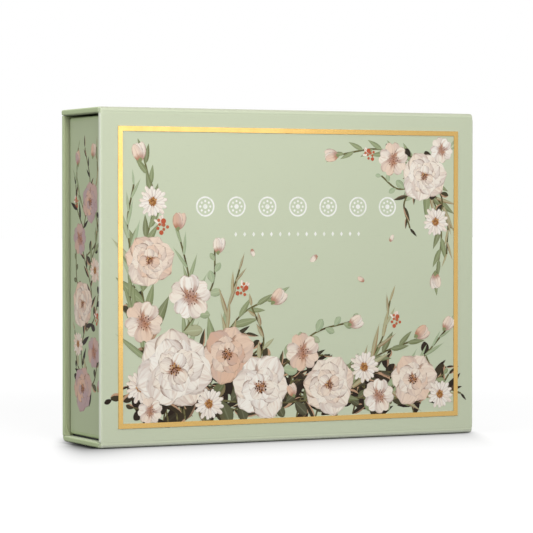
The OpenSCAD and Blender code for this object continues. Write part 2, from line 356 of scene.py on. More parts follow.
# cards: smooth white stock, each sheet's cut edge a little different in tone
cardLook = {"face": ink(243, 241, 234), "edgePale": ink(240, 237, 228), "edgeDark": ink(203, 199, 188),
    "pitch": 0.3 * mm, "linen": 1700.0}


def cardFinish():
    material, tree, shader = newMaterial("coatedCardStock")
    place = coords(tree)
    cutEdge = fade(abs(split(coords(tree, "Normal"))[1]), 0.7, 0.3)
    sheet = wireOf(tree, "ShaderNodeTexWhiteNoise",
        {"W": calc("FLOOR", split(place)[1] / cardLook["pitch"])}, "Value", noise_dimensions="1D")
    edge = mixColour(sheet, cardLook["edgePale"], cardLook["edgeDark"])
    turned = wireOf(tree, "ShaderNodeMapping", {"Vector": place, "Rotation": (quarterTurn, 0, 0)})
    linen = wireOf(tree, "ShaderNodeTexBrick", {"Vector": turned, "Scale": cardLook["linen"], "Mortar Size": 0.12,
        "Color1": (1, 1, 1, 1), "Color2": (0.8, 0.8, 0.8, 1), "Mortar": (0, 0, 0, 1)}, "Color")
    return grained(material, tree, shader, {"Colour": mixColour(cutEdge, cardLook["face"], edge),
        "Tooth Size": 0.3 * mm, "Mottle": 0.015, "Fibres": 0.0, "Roughness": 0.42},
        strength=0.2, depth=0.03 * mm, height=linen)


greyboard, cardStock = boardFinish(), cardFinish()
goldFoil, nickel = metalFinish("stampedGoldFoil", foilLook), metalFinish("nickelDisc", magnetLook)

# printed decoration: matt inks that vary from petal to petal
petalLook = {"streaks": 4.5, "vary": 0.34, "streak": ink(212, 176, 150), "streakShare": 0.42,
    "heart": ink(172, 112, 82), "heartShare": 0.85, "heartReach": (0.46, 0.1), "heartFray": -0.16,
    "shade": ink(196, 178, 172), "shadeShare": 0.4,
    "rim": ink(134, 92, 66), "rimShare": 0.7,
    "bodies": ((0.0, ink(249, 244, 234)), (0.35, ink(244, 232, 216)), (0.6, ink(236, 210, 188)),
        (0.78, ink(224, 184, 156)), (1.0, ink(186, 160, 162)))}
leafLook = {"streaks": 3.0, "vary": 0.2, "vein": ink(196, 204, 168), "rim": ink(66, 52, 34), "rimShare": 0.6,
    "line": ink(206, 166, 134), "lineShare": 0.85,
    "bodies": ((0.0, ink(44, 34, 27)), (0.12, ink(64, 56, 40)), (0.3, ink(98, 102, 62)),
        (0.5, ink(126, 136, 92)), (0.72, ink(160, 180, 148)), (0.88, ink(164, 122, 74)),
        (1.0, ink(140, 82, 48)))}
seedBodies = ((0.0, ink(64, 48, 34)), (0.3, ink(116, 70, 38)), (0.6, ink(186, 130, 70)),
    (0.78, ink(226, 196, 140)), (0.9, ink(190, 92, 64)), (1.0, ink(140, 148, 104)))
# inks of two near tones: the full one and the one where it lies thin
plainLooks = (("stemInk", ink(112, 108, 70), ink(78, 66, 44)),
    ("whiteInk", ink(247, 247, 242), ink(232, 235, 224)),
    ("suitGreenInk", ink(62, 104, 74), ink(74, 118, 84)),
    ("suitRedInk", ink(150, 62, 50), ink(164, 76, 60)),
    ("suitBlueInk", ink(58, 80, 112), ink(70, 92, 124)))


def inkFinish(name, paint):
    material, tree, shader = newMaterial(name)
    return grained(material, tree, shader, {"Colour": paint(tree), "Mottle": 0.05, "Fibres": 0.02,
        "Roughness": 0.55}, strength=0.4, depth=0.04 * mm, gloss=0.12)


def attribute(tree, name):
    return wireOf(tree, "ShaderNodeAttribute", output="Fac", attribute_name=name)


def brushed(tree, look):
    # what petals and leaves share: their own place, seed and tone, the brush marks and the body's colour
    own = {name: attribute(tree, name) for name in ("along", "across", "petalTint", "headTone")}
    marks = placeGroup(tree, brushMarks, {"Along": own["along"], "Across": own["across"],
        "Own Seed": own["petalTint"], "Streaks": look["streaks"]})
    tone = held((own["petalTint"] - 0.5) * look["vary"] + own["headTone"])
    return own, marks, ramp(tone, look["bodies"])


def paintPetal(tree):
    own, marks, body = brushed(tree, petalLook)
    heart = fade(marks("Streak") * petalLook["heartFray"] + own["along"], *petalLook["heartReach"])
    masks = {"streak": marks("Streak"), "heart": heart, "shade": marks("Shade"), "rim": marks("Rim")}
    for label, mask in masks.items():
        body = mixColour(mask * petalLook[label + "Share"], body, petalLook[label])
    return body


def paintLeaf(tree):
    own, marks, body = brushed(tree, leafLook)
    across, tint, tone = own["across"], own["petalTint"], own["headTone"]
    painted = held(tone * 0.8 - 0.03)
    body = mixColour(marks("Shade") * 0.6, mixColour(painted * 0.8, body, leafLook["vein"]), body)
    vein = fade(abs(across), 0.16, 0.05) * painted
    # half of the dark leaves have a pale brush line along one edge
    edge = fade(marks("Streak") * -0.25 + across, 0.3, 0.5, 0.0, leafLook["lineShare"])
    line = edge * (fade(tone, 0.25, 0.1) * fade(tint, 0.45, 0.55))
    for mask, label in ((vein, "vein"), (marks("Rim") * leafLook["rimShare"], "rim"), (line, "line")):
        body = mixColour(mask, body, leafLook[label])
    return body


def paintSeed(tree):
    return ramp(attribute(tree, "petalTint"), seedBodies)


def plainInk(name, full, thin):
    return inkFinish(name, lambda tree: mixColour(fade(noise(coords(tree), 700.0, 3.0), 0.4, 0.7), full, thin))


petalInk, leafInk = inkFinish("petalInk", paintPetal), inkFinish("leafInk", paintLeaf)
seedInk = inkFinish("seedInk", paintSeed)
stemInk, whiteInk, greenInk, redInk, blueInk = [plainInk(*look) for look in plainLooks]
print("materials built:", len(bpy.data.materials))


# every CAD node gets its finish
def dressNodes():
    finishes = {"board": greyboard, "wrap": wrapPaper, "lining": liningPaper, "crease": wrapPaper, "frame": goldFoil,
        "magnets": nickel, "tape": slotShadeTapePaper, "floor": greyboard, "end": greyboard, "wall": greyboard,
        "divider": wrapPaper, "cards": cardStock}
    own = {"tray_wrap": trayPaper, "lid_wrap": lidPaper, "base_wrap": basePaper}
    for name, node in nodes.items():
        node.data.materials.clear()
        node.data.materials.append(own[name] if name in own else finishes[name.split("_")[-1]])


dressNodes()


# mesh helpers

def meshObject(name, points, faces, attributes=None, edges=(), home=scene.collection):
    mesh = bpy.data.meshes.new(name)
    mesh.from_pydata([tuple(p) for p in points], edges, faces)
    for label, values in (attributes or {}).items():
        kind = "INT" if isinstance(values[0], int) else "FLOAT"
        mesh.attributes.new(label, kind, "POINT").data.foreach_set("value", values)
    thing = bpy.data.objects.new(name, mesh)
    home.objects.link(thing)
    return thing


def rework(mesh, change):
    shape = bmesh.new()
    shape.from_mesh(mesh)
    change(shape)
    shape.to_mesh(mesh)
    shape.free()
    mesh.update()


def closedPiece(name, points, faces, material):
    def close(shape):
        bmesh.ops.remove_doubles(shape, verts=shape.verts, dist=1e-7)
        bmesh.ops.recalc_face_normals(shape, faces=shape.faces)
    piece = meshObject(name, points, faces)
    rework(piece.data, close)
    piece.data.materials.append(material)
    return piece


def settle(piece, body):
    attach(piece, body)


def rectangle(low, high, bottom, top):
    return ((low, bottom), (high, bottom), (high, top), (low, top))


def ringQuads(start, after, count):
    # faces between two rings of points, given by where each ring starts
    return [(start + k, start + (k + 1) % count, after + (k + 1) % count, after + k) for k in range(count)]


def prism(points, faces, near, far):
    # a closed bar between two outlines
    first, count = len(points), len(near)
    points += near + far
    faces += [tuple(range(first, first + count)), tuple(range(first + count, first + 2 * count))]
    faces += ringQuads(first, first + count, count)


# paper creases: a bent strip with scored lines beside the boards, and mitred tucks that close its ends
creaseShape = {"fold": 1.2 * mm, "wall": 0.6 * mm, "softEnd": 0.5 * mm, "inset": 0.15 * mm, "score": 0.03 * mm,
    "scoreAt": 0.3 * mm, "scoreWide": 0.2 * mm, "flatSteps": 8, "arcSteps": 14, "endSteps": 6, "midSteps": 30,
    "smooth": 50, "tuck": 0.4 * mm, "tuckSet": 0.03 * mm, "tuckLap": 0.05 * mm, "tuckShort": 0.1 * mm}


def foldProfile(corner, first, second):
    # outer line of the fold from one panel to the other:
    # point, inward direction and distance to the nearer panel
    fold, flat = creaseShape["fold"], creaseRadius - creaseShape["fold"]
    gaps = [flat * k / creaseShape["flatSteps"] for k in range(creaseShape["flatSteps"])]
    line = [(corner + first * (creaseRadius - gone), second, gone) for gone in gaps]
    for k in range(creaseShape["arcSteps"] + 1):
        turn = quarterTurn * k / creaseShape["arcSteps"]
        inward = first * math.sin(turn) + second * math.cos(turn)
        gone = flat + fold * min(turn, quarterTurn - turn)
        line.append((corner + (first + second) * fold - inward * fold, inward, gone))
    return line + [(corner + second * (creaseRadius - gone), first, gone) for gone in reversed(gaps)]


def creaseStrip(name, corner, first, second, paper):
    c, soft, reach = creaseShape, creaseShape["softEnd"], halfWidth - creaseShape["inset"]
    steps = [soft * k / c["endSteps"] for k in range(c["endSteps"] + 1)]
    ends = [(inset, soft - math.sqrt(soft ** 2 - (soft - inset) ** 2)) for inset in steps]
    middle = [(soft + 2 * (reach - soft) * k / c["midSteps"], 0.0) for k in range(1, c["midSteps"])]
    stations = ends + middle + [(2 * reach - inset, drop) for inset, drop in reversed(ends)]
    profile = foldProfile(corner, first, second)
    points, faces, ring = [], [], 2 * len(profile)
    for inset, drop in stations:
        aside = Vector((inset - reach, 0, 0))
        for point, inward, gone in profile:
            groove = c["score"] * math.exp(-((gone - c["scoreAt"]) / c["scoreWide"]) ** 2)
            points.append(point + inward * (drop + groove * (1 - drop / soft)) + aside)
        points += [point + inward * c["wall"] + aside for point, inward, gone in reversed(profile)]
    lastRing = ring * (len(stations) - 1)
    for s in range(0, lastRing, ring):
        faces += ringQuads(s, s + ring, ring)
    for s in (0, lastRing):
        faces += [(s + k, s + k + 1, s + ring - 2 - k, s + ring - 1 - k) for k in range(len(profile) - 1)]
    strip = closedPiece(name, points, faces, paper)
    for face in strip.data.polygons:
        face.use_smooth = True
    strip.data.set_sharp_from_angle(angle=math.radians(c["smooth"]))
    return strip


def creaseTucks(name, corner, first, second, shareFrom, shareTo, paper):
    c, profile = creaseShape, foldProfile(corner, first, second)
    last = len(profile) - 1
    part = profile[round(last * shareFrom):round(last * shareTo) + 1]
    outline = [corner + (first + second) * (creaseRadius - c["tuckShort"])]
    outline += [point + inward * (c["wall"] - c["tuckLap"]) for point, inward, gone in part]
    points, faces = [], []
    for side in (-1, 1):
        ends = [Vector((side * (halfWidth - c["inset"] - depth), 0, 0))
            for depth in (c["tuckSet"], c["tuck"])]
        prism(points, faces, *[[p + end for p in outline] for end in ends])
    return closedPiece(name, points, faces, paper)


def buildCreases():
    frontBottom, frontTop = Vector((0, frontY, 0)), Vector((0, frontY, topZ))
    backBottom = Vector((0, backY, 0))
    lowCrease = creaseStrip("lidFoldStrip", frontBottom, forward, up, foldPaper)
    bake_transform(lowCrease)
    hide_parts("spine_lid_crease")
    highCrease = creaseStrip("flapFoldStrip", frontTop, down, forward, foldPaper)
    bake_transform(highCrease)
    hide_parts("lid_flap_crease")
    backCrease = creaseStrip("spineFoldStrip", backBottom, back, up, wrapPaper)
    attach(backCrease, "box")
    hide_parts("base_spine_crease")
    pieces = [lowCrease, highCrease, backCrease]
    for name, corner, first, second, low, high, paper, body in (
            ("spineFrontTucks", frontBottom, forward, up, 0, 0.5, foldPaper, "box"),
            ("lidLowerTucks", frontBottom, forward, up, 0.5, 1, foldPaper, "lid"),
            ("lidUpperTucks", frontTop, down, forward, 0, 0.5, foldPaper, "lid"),
            ("flapTucks", frontTop, down, forward, 0.5, 1, foldPaper, "flap"),
            ("spineBackTucks", backBottom, back, up, 0, 1, wrapPaper, "box")):
        pieces.append(creaseTucks(name, corner, first, second, low, high, paper))
        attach(pieces[-1], body)


buildCreases()

# corner gussets: the base's turned-in paper is mitred where it runs down into the spine's fold
gussetSize = {"tall": 3.4 * mm, "thickness": 0.15 * mm, "sink": 0.03 * mm, "lift": 0.6 * mm, "clear": 0.12 * mm}


def buildGussets():
    g = gussetSize
    outer, inner, low = halfWidth - g["clear"], trayHigh.x + g["clear"], creaseRadius
    corners = ((outer, low + g["tall"], g["lift"]), (outer, low, 0.0), (inner, low, g["lift"]))
    points, faces = [], []
    for side in (-1, 1):
        prism(points, faces, *[[(side * x, baseLow.y - height - lift, z) for x, z, lift in corners]
            for height in (-g["sink"], g["thickness"])])
    settle(closedPiece("baseCornerGussets", points, faces, basePaper), "box")


buildGussets()


def barsAcross(name, profile, spans, paper, body):
    points, faces = [], []
    for span in spans:
        prism(points, faces, *[[(x, y, z) for y, z in profile] for x in span])
    settle(closedPiece(name, points, faces, paper), body)


# hinge liners: paper that turns from a panel's inner face down its edge,
# so that an open fold shows no bare board
hingeLinerSize = {"thickness": 0.04 * mm, "leg": 1.2 * mm, "inset": 0.15 * mm, "lap": 0.05 * mm, "turnSteps": 4}


def hingeLiner(name, body, corner, outward, inward):
    g = hingeLinerSize
    t, leg, deep = g["thickness"], g["leg"], panelThickness - creaseShape["wall"] + g["lap"]
    turns = [quarterTurn * k / g["turnSteps"] for k in range(g["turnSteps"] + 1)]
    profile = [(t, -deep)] + [(t * math.cos(a), t * math.sin(a)) for a in turns]
    profile += [(-leg, t), (-leg, 0), (0, 0), (0, -deep)]
    placed = [corner + outward * p + inward * q for p, q in profile]
    reach = halfWidth - g["inset"]
    barsAcross(name, [(p.y, p.z) for p in placed], [(-reach, reach)], wrapPaper, body)


def buildHingeLiners():
    edge, inside = [{name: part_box(name + part) for name in ("spine", "lid", "flap")}
        for part in ("_board", "_lining")]
    lidInside = inside["lid"][1].y
    hingeLiner("spineHingeLiner", "box", Vector((0, edge["spine"][0].y, inside["spine"][1].z)), back, up)
    hingeLiner("lidLowerHingeLiner", "lid", Vector((0, lidInside, edge["lid"][0].z)), down, forward)
    hingeLiner("lidUpperHingeLiner", "lid", Vector((0, lidInside, edge["lid"][1].z)), up, forward)
    hingeLiner("flapHingeLiner", "flap", Vector((0, edge["flap"][0].y, inside["flap"][0].z)), back, down)


buildHingeLiners()

# the paper doubled on the base's free end, where the flap rests, and a black foam foot under the tray's ends that
# stands for the shade in the slot below the tray
restSize = {"half": 0.5 * mm, "sink": 0.16 * mm, "shortOfEnd": 0.6 * mm, "clear": 0.002 * mm, "steps": 8}
footSize = {"set": 0.6 * mm, "deep": 6.5 * mm, "clear": 0.01 * mm, "front": 0.9 * mm, "back": 0.25 * mm}


def buildRests():
    g, f = restSize, footSize
    middle, low = (baseLow.y + baseHigh.y) / 2, baseHigh.z - g["sink"]
    rise, reach = flapLow.z - g["clear"] - low, halfWidth - g["shortOfEnd"]
    turns = [math.pi * k / g["steps"] for k in range(g["steps"] + 1)]
    arch = [(middle + g["half"] * math.cos(a), low + rise * math.sin(a) ** 0.5) for a in turns]
    barsAcross("baseRestStrip", arch, [(-reach, reach)], basePaper, "box")
    # the black foot fills the slot with a painted shade
    bottom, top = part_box("spine_wrap")[1].z + f["clear"], trayLow.z - f["clear"]
    foot = rectangle(trayLow.y + f["front"], trayHigh.y - f["back"], bottom, top)
    outer = trayHigh.x - f["set"]
    spans = [(-outer, f["deep"] - outer), (outer - f["deep"], outer)]
    barsAcross("trayFootFoam", foot, spans, slotShadeTapePaper, "box")


buildRests()
print("creases built")


# foil frame: one stamped line with crisp bevelled edges, over the printed decoration
def buildFoil():
    low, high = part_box("foil_frame")
    line = high.x - min(abs(v.co.x) for v in nodes["foil_frame"].data.vertices)
    edge, tall = foilLook["edge"], foilLook["height"]
    points, faces = [], []
    for number, (inset, height) in enumerate(((0, 0), (edge, tall), (line - edge, tall), (line, 0))):
        loop = rectangle(low.x + inset, high.x - inset, low.z + inset, high.z - inset)
        points += [(x, frontY - height, z) for x, z in loop]
        faces += ringQuads(number * 4, (number + 1) % 4 * 4, 4)
    foil = closedPiece("stampedFoilFrame", points, faces, goldFoil)
    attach(foil, "lid")
    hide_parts("foil_frame")


buildFoil()

# the tray's end papers: the end sheet stops short of the tray's folds, so its cut edge shows as a fine line
endPaperSize = {"shortOfFold": 1.1 * mm, "sideGap": 0.35 * mm, "thickness": 0.07 * mm, "softEdge": 0.04 * mm,
    "sink": 0.02 * mm}


def buildEndPapers():
    size = endPaperSize
    thick, soft = size["thickness"], size["softEdge"]
    for name, side in (("leftEndPaper", -1), ("rightEndPaper", 1)):
        points = []
        for inset, height in ((0, -size["sink"]), (0, thick - soft), (soft, thick)):
            sideGap, foldGap = size["sideGap"] + inset, size["shortOfFold"] + inset
            loop = rectangle(trayLow.y + sideGap, trayHigh.y - sideGap,
                trayLow.z + foldGap, trayHigh.z - foldGap)
            points += [(side * (trayHigh.x + height), y, z) for y, z in loop]
        faces = ringQuads(0, 4, 4) + ringQuads(4, 8, 4) + [(8, 9, 10, 11), (3, 2, 1, 0)]
        settle(closedPiece(name, points, faces, endPaper), "box")


buildEndPapers()
print("foil and end papers built")


# Geometry Nodes helpers

def newTree(name, inputs):
    # inputs: a number that is the default, or the kind of thing that goes in
    tree = bpy.data.node_groups.new(name, "GeometryNodeTree")
    for side in ("INPUT", "OUTPUT"):
        tree.interface.new_socket("Geometry", in_out=side, socket_type="NodeSocketGeometry")
    for label, value in dict(inputs, Ink="Material").items():
        kind = value if isinstance(value, str) else "Int" if isinstance(value, int) else "Float"
        socket = tree.interface.new_socket(label, in_out="INPUT", socket_type="NodeSocket" + kind)
        if kind != value:
            socket.default_value = value
    return tree, outputsOf(tree.nodes.new("NodeGroupInput"))


def endTree(tree, given, instances):
    real = wireOf(tree, "GeometryNodeRealizeInstances", {0: instances})
    dressed = wireOf(tree, "GeometryNodeSetMaterial", {"Geometry": real, "Material": given("Ink")})
    feed(tree.nodes.new("NodeGroupOutput"), {"Geometry": dressed})
    return tree


def randomValue(low, high, seed, offset):
    return wireOf(seed.tree, "FunctionNodeRandomValue", {2: low, 3: high, "Seed": seed + offset}, 1,
        data_type="FLOAT")


def jitter(given, offset):
    return randomValue(given("Jitter") * -1.0, given("Jitter"), given("Seed"), offset)


def turnAbout(angle):
    return wireOf(angle.tree, "FunctionNodeEulerToRotation", {0: joined(z=angle)})


def keepValue(geometry, name, value):
    return wireOf(geometry.tree, "GeometryNodeStoreNamedAttribute", {"Geometry": geometry, "Name": name,
        "Value": value}, data_type="FLOAT", domain="INSTANCE")


def pointValue(tree, name, kind="FLOAT"):
    return wireOf(tree, "GeometryNodeInputNamedAttribute", {"Name": name}, data_type=kind)


def indexOf(tree):
    return wireOf(tree, "GeometryNodeInputIndex")


def newPoints(count, place):
    return wireOf(count.tree, "GeometryNodePoints", {"Count": count, "Position": place})


def shapeOf(thing):
    return wireOf(thing.tree, "GeometryNodeObjectInfo", {"Object": thing}, "Geometry")


def setOn(points, shape, **inputs):
    return wireOf(points.tree, "GeometryNodeInstanceOnPoints", dict(inputs, Points=points, Instance=shape))


def runTree(name, carrier, tree, values, home=scene.collection):
    def faceOut(flat):
        bmesh.ops.reverse_faces(flat, faces=[f for f in flat.faces if f.normal.z < 0])
    modifier = carrier.modifiers.new("work", "NODES")
    modifier.node_group = tree
    for item in tree.interface.items_tree:
        if item.item_type == "SOCKET" and item.in_out == "INPUT" and item.name in values:
            modifier[item.identifier] = values[item.name]
    graph = bpy.context.evaluated_depsgraph_get()
    mesh = bpy.data.meshes.new_from_object(carrier.evaluated_get(graph),
        preserve_all_data_layers=True, depsgraph=graph)
    mesh.name = name
    carrier.modifiers.clear()
    rework(mesh, faceOut)
    made = bpy.data.objects.new(name, mesh)
    home.objects.link(made)
    return made


ringLevels = 3  # layers that one ring of petals takes


# petals set in rings or in a fan
def buildPetalRings():
    tree, given = newTree("petalRings", {"Petal": "Object", "Petals": 5, "Rings": 1, "Shrink": 0.7,
        "Sweep": fullTurn, "Jitter": 0.1, "Layer Step": 0.0003, "Seed": 1})
    index, petals, seed = indexOf(tree), given("Petals"), given("Seed")
    ring = calc("FLOOR", (index + 0.01) / petals)
    slot = index - ring * petals
    isLast = calc("COMPARE", slot, petals - 1.0, 0.1)
    level = ring * float(ringLevels) + calc("MAXIMUM", isLast * 2.0, slot % 2.0)
    points = newPoints(petals * given("Rings"), joined(z=level * given("Layer Step")))
    turn = ((slot + 0.5) / petals - 0.5) * given("Sweep") + ring * (math.pi / petals) + jitter(given, 3)
    size = given("Shrink") ** ring * randomValue(0.9, 1.06, seed, 11)
    placed = setOn(points, shapeOf(given("Petal")), Rotation=turnAbout(turn), Scale=size)
    return endTree(tree, given, keepValue(placed, "petalTint", randomValue(0.0, 1.0, seed, 23)))


# small discs packed in a spiral, for stamens and berries
def buildSeedCluster():
    goldenAngle = 2.399963
    tree, given = newTree("seedCluster", {"Count": 20, "Radius": 0.2, "Seed Size": 0.03, "Height": 0.004,
        "Layer Step": 0.0003, "Tint Low": 0.0, "Tint High": 1.0, "Seed": 1})
    index, seed = indexOf(tree), given("Seed")
    reach = calc("SQRT", (index + 0.5) / given("Count")) * given("Radius")
    angle = index * goldenAngle
    points = newPoints(given("Count"), joined(reach * calc("COSINE", angle), reach * calc("SINE", angle),
        index % 4.0 * given("Layer Step") + given("Height")))
    disc = wireOf(tree, "GeometryNodeMeshCircle", {"Vertices": 9, "Radius": 1.0}, fill_type="NGON")
    placed = setOn(points, disc, Scale=given("Seed Size") * randomValue(0.65, 1.25, seed, 5))
    tint = randomValue(given("Tint Low"), given("Tint High"), seed, 31)
    return endTree(tree, given, keepValue(placed, "petalTint", tint))


# leaves set alternately along drawn paths
def buildLeafSpray():
    tree, given = newTree("leafSpray", {"Leaf": "Object", "Spacing": 0.003, "Tip Share": 0.45, "Jitter": 0.2,
        "Layer Step": 0.000002, "Seed": 1})
    index, seed, share = indexOf(tree), given("Seed"), pointValue(tree, "pathShare")
    paths = wireOf(tree, "GeometryNodeMeshToCurve", {0: given("Geometry")})
    dots = outputsOf(addNode(tree, "GeometryNodeCurveToPoints",
        {"Curve": paths, "Length": given("Spacing")}, mode="LENGTH"))
    raised = wireOf(tree, "GeometryNodeSetPosition", {"Geometry": dots(0),
        "Offset": joined(z=index % 3.0 * given("Layer Step"))})
    wayX, wayY = split(dots("Tangent"))[:2]
    side = index % 2.0 * 2.0 - 1.0
    lean = pointValue(tree, "leafLean") * (share * -0.55 + 1.0)
    turn = side * lean + (calc("ARCTAN2", wayY, wayX) - quarterTurn) + jitter(given, 7)
    taper = share * (given("Tip Share") - 1.0) + 1.0
    size = pointValue(tree, "leafSize") * taper * randomValue(0.78, 1.15, seed, 13)
    placed = setOn(raised, shapeOf(given("Leaf")), Rotation=turnAbout(turn), Scale=size)
    toned = keepValue(placed, "headTone", pointValue(tree, "headTone"))
    return endTree(tree, given, keepValue(toned, "petalTint", randomValue(0.0, 1.0, seed, 29)))


# flat stems that thin out along the same paths
def buildStemRibbon():
    tree, given = newTree("stemRibbon", {"Width": 0.0006})
    paths = wireOf(tree, "GeometryNodeMeshToCurve", {0: given("Geometry")})
    level = wireOf(tree, "GeometryNodeSetCurveNormal", {"Curve": paths}, mode="Z_UP")
    half = given("Width") * 0.5
    line = wireOf(tree, "GeometryNodeCurvePrimitiveLine", {"Start": joined(half * -1.0), "End": joined(half)})
    taper = pointValue(tree, "pathShare") * -0.75 + 1.0
    thin = wireOf(tree, "GeometryNodeSetCurveRadius", {"Curve": level, "Radius": taper})
    ribbon = wireOf(tree, "GeometryNodeCurveToMesh", {"Curve": thin, "Profile Curve": line})
    return endTree(tree, given, ribbon)


# finished heads placed on marked points
def buildPlaceHeads():
    tree, given = newTree("placeHeads", {"Heads": "Collection"})
    heads = wireOf(tree, "GeometryNodeCollectionInfo", {"Collection": given("Heads"),
        "Separate Children": True, "Reset Children": True})
    dots = wireOf(tree, "GeometryNodeMeshToPoints", {0: given("Geometry")})
    placed = setOn(dots, heads, Rotation=turnAbout(pointValue(tree, "headTurn")),
        Scale=pointValue(tree, "headSize"), **{"Pick Instance": True,
        "Instance Index": pointValue(tree, "headKind", "INT")})
    return endTree(tree, given, keepValue(placed, "headTone", pointValue(tree, "headTone")))


# the same sign repeated in a row
def buildSignRow():
    tree, given = newTree("signRow", {"Sign": "Object", "Count": 3, "Pitch": 0.016, "Height": 0.00002})
    across = (indexOf(tree) - (given("Count") - 1.0) * 0.5) * given("Pitch")
    points = newPoints(given("Count"), joined(across, 0.0, given("Height")))
    return endTree(tree, given, setOn(points, shapeOf(given("Sign"))))


petalRings, seedCluster, leafSpray = buildPetalRings(), buildSeedCluster(), buildLeafSpray()
stemRibbon, placeHeads, signRow = buildStemRibbon(), buildPlaceHeads(), buildSignRow()
carrier = meshObject("carrier", [(0, 0, 0)], [])
workCollection = bpy.data.collections.new("work")
scene.collection.children.link(workCollection)
print("geometry trees built")


# one petal or leaf of unit length, drawn as a small grid that knows its own along and across
def petalShape(name, halfWide, outline, notch=0.0, wave=0.0, columns=9, rows=11, tipWide=0.015):
    points, faces, along, across = [], [], [], []
    for j in range(rows):
        v = math.sin(quarterTurn * j / (rows - 1))
        for i in range(columns):
            u = 2 * i / (columns - 1) - 1
            x = u * max(outline(v), tipWide)
            tip = v ** 3 * (notch * math.exp(-(x / 0.28) ** 2) - wave * math.sin(7 * x + 1.3))
            points.append((x * halfWide, v - tip, 0.0))
            along.append(v)
            across.append(u)
    for j in range(rows - 1):
        for a in range(j * columns, (j + 1) * columns - 1):
            faces.append((a, a + 1, a + columns + 1, a + columns))
    return meshObject(name, points, faces, {"along": along, "across": across}, home=workCollection)


def roundTip(waist, shoulder):
    # narrow at the foot, widest at the shoulder, then a round tip
    def outline(v):
        if v < shoulder:
            return waist + (1 - waist) * math.sin(quarterTurn * v / shoulder)
        return math.sqrt(max(0.0, 1 - ((v - shoulder) / (1 - shoulder)) ** 2))
    return outline


def lance(v):
    return math.sin(math.pi * v ** 0.72) ** 0.9


def blade(v):
    return (1 - (2 * v - 0.75) ** 2 / 1.6) * (1 - v ** 4) if v < 1 else 0.0


def spoon(v):
    return math.sin(math.pi * v ** 1.25) ** 0.62


petalShapes = {
    "broad": petalShape("broadPetal", 0.5, roundTip(0.24, 0.55), wave=0.03, tipWide=0.15),
    "heart": petalShape("heartPetal", 0.47, roundTip(0.14, 0.62), notch=0.16, wave=0.02, tipWide=0.36),
    "slim": petalShape("slimPetal", 0.13, roundTip(0.35, 0.78), columns=5, rows=8),
    "fold": petalShape("foldPetal", 0.3, roundTip(0.4, 0.42), wave=0.02, columns=7, rows=9)}
leafShapes = {
    "lance": petalShape("lanceLeaf", 0.13, lance, columns=5, rows=9),
    "blade": petalShape("bladeLeaf", 0.07, blade, columns=5, rows=9),
    "spoon": petalShape("spoonLeaf", 0.3, spoon, columns=7, rows=9)}

# how the print is laid: heights of its layers, spread within which things lie on one another, leaf spacing
printLook = {"leafStep": 0.7e-6, "leafLayers": 5, "leafSpread": 0.6, "petalStep": 0.00012, "seedRise": 0.0009,
    "headClear": 2e-6, "headSpread": 1.05, "lowest": 4e-6, "stem": 0.55 * mm, "jitter": 0.22,
    "petalSeed": 17, "grainSeed": 41, "leafSeed": 5, "gaps": {"lance": 3.1, "blade": 3.6, "spoon": 3.0}}

# flower heads: petals in one collection and the seeds that go with them, in the same order, in another
headFields = ("petal", "petals", "rings", "shrink", "jitter", "sweep", "seeds", "reach", "grain", "tints")
headKinds = [dict(zip(headFields, row)) for row in (
    ("broad", 7, 4, 0.74, 0.2, fullTurn, 24, 0.15, 0.026, (0.0, 0.75)),
    ("heart", 5, 1, 1.0, 0.07, fullTurn, 22, 0.36, 0.028, (0.0, 0.7)),
    ("slim", 13, 2, 0.82, 0.09, fullTurn, 34, 0.26, 0.05, (0.3, 0.7)),
    ("fold", 3, 1, 1.0, 0.05, 0.8, 5, 0.09, 0.07, (1.0, 1.0)),
    ("fold", 1, 1, 1.0, 0.0, fullTurn, 1, 0.0, 0.01, (0.3, 0.3)),
    ("broad", 6, 3, 0.68, 0.22, fullTurn, 26, 0.2, 0.03, (0.0, 0.6)),
    ("slim", 3, 1, 1.0, 0.2, 1.6, 8, 0.62, 0.2, (0.88, 0.92)))]
rosette, plum, daisy, bud, loosePetal, peony, berries = range(len(headKinds))


def headTall(kind):
    return (kind["rings"] * ringLevels + 1) * printLook["petalStep"]


def buildHeads():
    petals, seeds = bpy.data.collections.new("petalHeads"), bpy.data.collections.new("seedHeads")
    for number, kind in enumerate(headKinds):
        runTree("petalHead%d" % number, carrier, petalRings, {"Petal": petalShapes[kind["petal"]],
            "Petals": kind["petals"], "Rings": kind["rings"], "Shrink": kind["shrink"], "Sweep": kind["sweep"],
            "Jitter": kind["jitter"], "Layer Step": printLook["petalStep"],
            "Seed": printLook["petalSeed"] + number, "Ink": petalInk}, petals)
        runTree("seedHead%d" % number, carrier, seedCluster, {"Count": kind["seeds"], "Radius": kind["reach"],
            "Seed Size": kind["grain"], "Height": headTall(kind), "Layer Step": printLook["petalStep"],
            "Tint Low": kind["tints"][0], "Tint High": kind["tints"][1],
            "Seed": printLook["grainSeed"] + number, "Ink": seedInk}, seeds)
    for collection in (petals, seeds):
        workCollection.children.link(collection)
    return petals, seeds


petalHeads, seedHeads = buildHeads()


def drawPath(points, steps=9):
    # a smooth line through the given points
    knots = [Vector(p) for p in points]
    knots = [knots[0] * 2 - knots[1]] + knots + [knots[-1] * 2 - knots[-2]]
    line = []
    for k in range(1, len(knots) - 2):
        a, b, c, d = knots[k - 1:k + 3]
        for s in range(steps):
            t = s / steps
            bend, twist = 2 * a - 5 * b + 4 * c - d, 3 * b - a - 3 * c + d
            line.append(0.5 * (2 * b + (c - a) * t + bend * t * t + twist * t ** 3))
    return line + [knots[-2]]


def stackHeights(items, touches, thickness, least):
    # each item lies on whatever it overlaps among those drawn before it
    heights = []
    for k, item in enumerate(items):
        below = [heights[j] + thickness(items[j]) for j in range(k) if touches(items[j], item)]
        heights.append(max(below + [least(item)]))
    return heights


